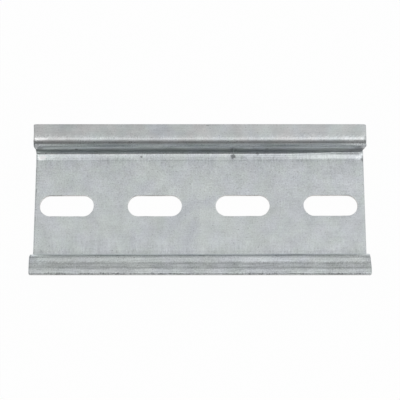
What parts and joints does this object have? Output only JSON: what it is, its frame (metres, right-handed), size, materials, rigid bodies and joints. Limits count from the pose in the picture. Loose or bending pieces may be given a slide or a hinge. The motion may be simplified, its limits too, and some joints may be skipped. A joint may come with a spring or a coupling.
{
  "type": "din rail",
  "caption": "Short length of slotted top-hat mounting rail, roll-formed from zinc-plated steel strip, with a row of long holes through its web.",
  "frame": {"origin": "middle of the rail's length and width, on the back face of the web, which is the face that lies on the panel", "axes": "+X along the rail, +Y across it, +Z from the back of the web to the front of the flanges, which is the open side that devices clip on to"},
  "size_m": [0.0762, 0.035, 0.0075],
  "materials": {
    "zinc_plated_steel": "satin zinc plating with faint rolling streaks and mottling"
  },
  "bodies": {
    "root": {"rail": "zinc_plated_steel"}
  },
  "joints": []
}
